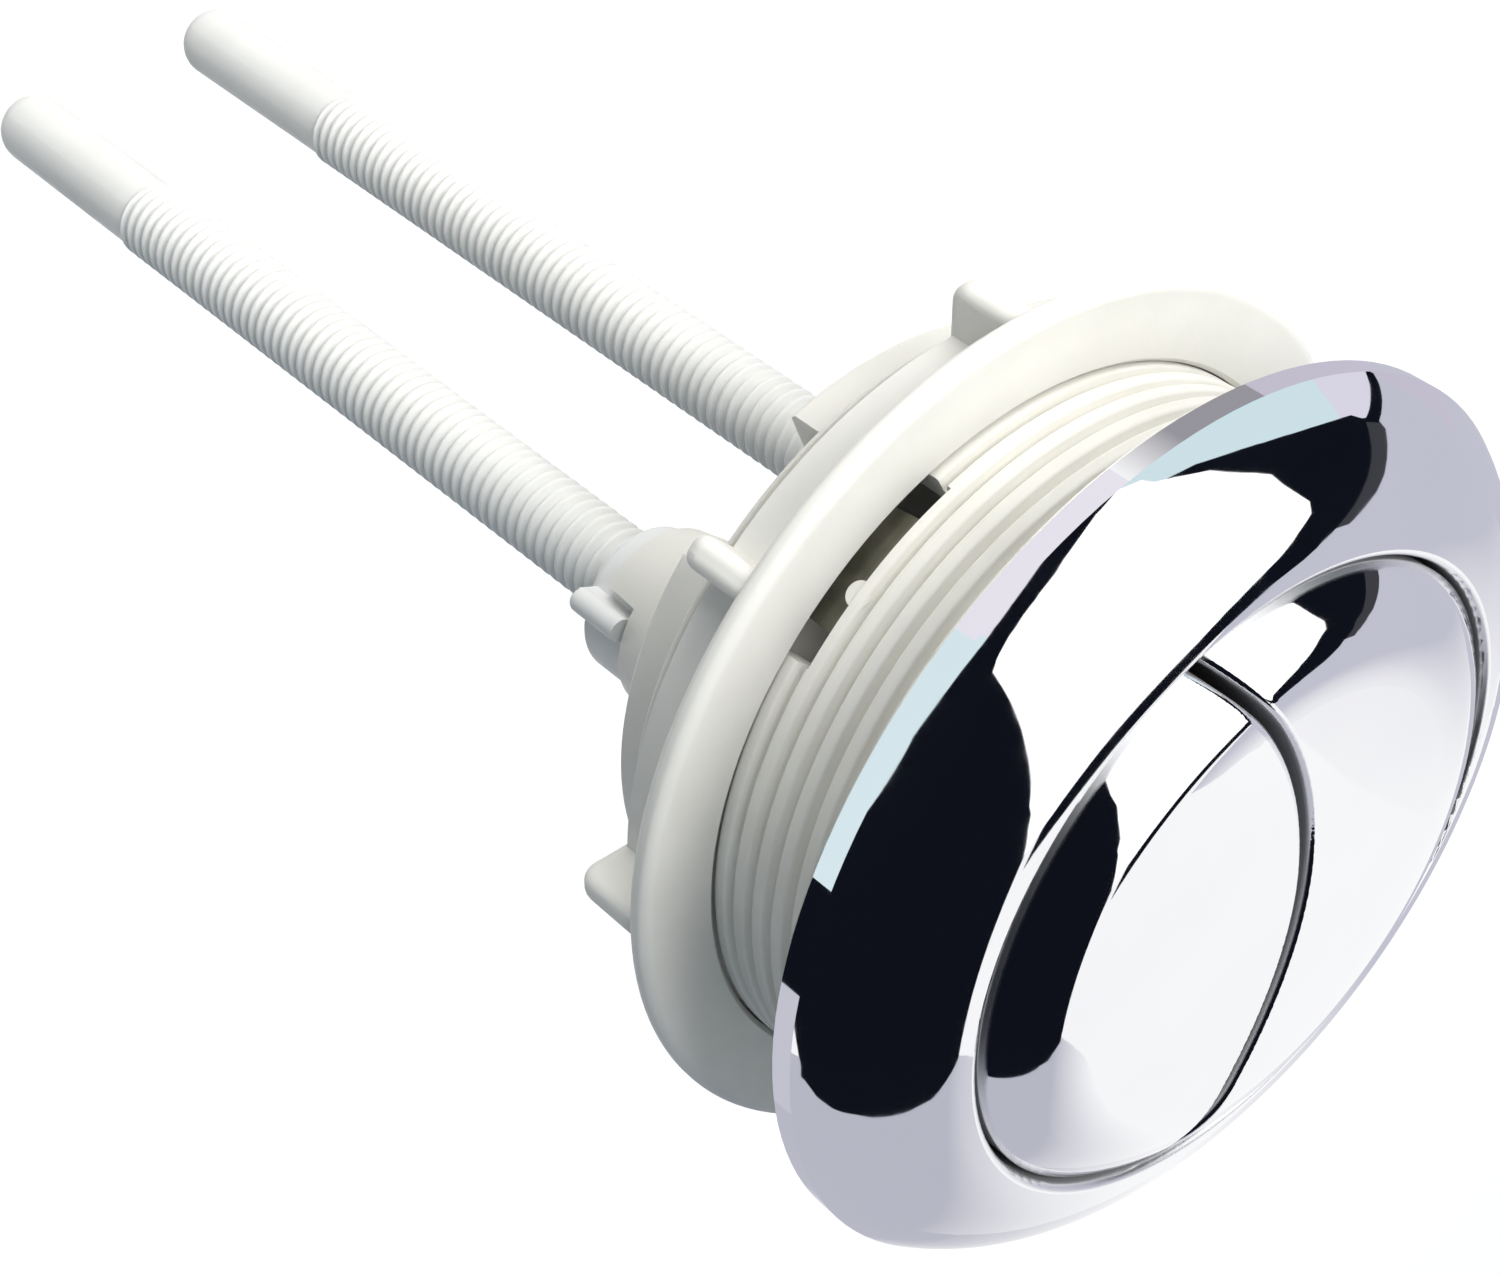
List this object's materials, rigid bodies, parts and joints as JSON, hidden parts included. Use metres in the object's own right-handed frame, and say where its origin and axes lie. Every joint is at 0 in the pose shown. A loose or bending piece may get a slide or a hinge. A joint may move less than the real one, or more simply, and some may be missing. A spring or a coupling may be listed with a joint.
{
  "type": "push button cistern actuator",
  "caption": "Round cistern flush actuator: domed chromed bezel, buttons divided by an arc, threaded barrel with a ribbed lock nut, sprung plungers and long threaded push rods.",
  "frame": {"origin": "on the barrel's axis, in the plane of the bezel's seat on the cistern lid", "axes": "+Z out of the face towards the user, rods towards -Z, +X from the lens-shaped button to the crescent-shaped one"},
  "size_m": [0.058, 0.058, 0.1237],
  "materials": {
    "chromed_plastic": "polished",
    "white_plastic": "moulded",
    "spring_steel": "drawn"
  },
  "bodies": {
    "housing": {"bezel": "chromed_plastic", "barrel": "white_plastic", "spring_lens": "spring_steel", "spring_crescent": "spring_steel"},
    "lens_button": {"button_lens": "chromed_plastic", "plunger_lens": "white_plastic"},
    "crescent_button": {"button_crescent": "chromed_plastic", "plunger_crescent": "white_plastic"},
    "lens_rod": {"rod_lens": "white_plastic"},
    "crescent_rod": {"rod_crescent": "white_plastic"},
    "nut": {"lock_nut": "white_plastic"}
  },
  "joints": [
    {"name": "lens_press", "type": "slide", "parent": "housing", "child": "lens_button", "axis": [0, 0, 1], "range_m": [-0.006, 0], "stiffness_N_per_m": 300, "springref_m": 0.004, "deforming": ["spring_lens"]},
    {"name": "crescent_press", "type": "slide", "parent": "housing", "child": "crescent_button", "axis": [0, 0, 1], "range_m": [-0.006, 0], "stiffness_N_per_m": 300, "springref_m": 0.004, "deforming": ["spring_crescent"]},
    {"name": "lens_rod_screw", "type": "slide", "parent": "lens_button", "child": "lens_rod", "axis": [0, 0, 1], "range_m": [-0.015, 0.008]},
    {"name": "crescent_rod_screw", "type": "slide", "parent": "crescent_button", "child": "crescent_rod", "axis": [0, 0, 1], "range_m": [-0.015, 0.008]},
    {"name": "nut_screw", "type": "slide", "parent": "housing", "child": "nut", "axis": [0, 0, 1], "range_m": [-0.0015, 0.0099]}
  ]
}
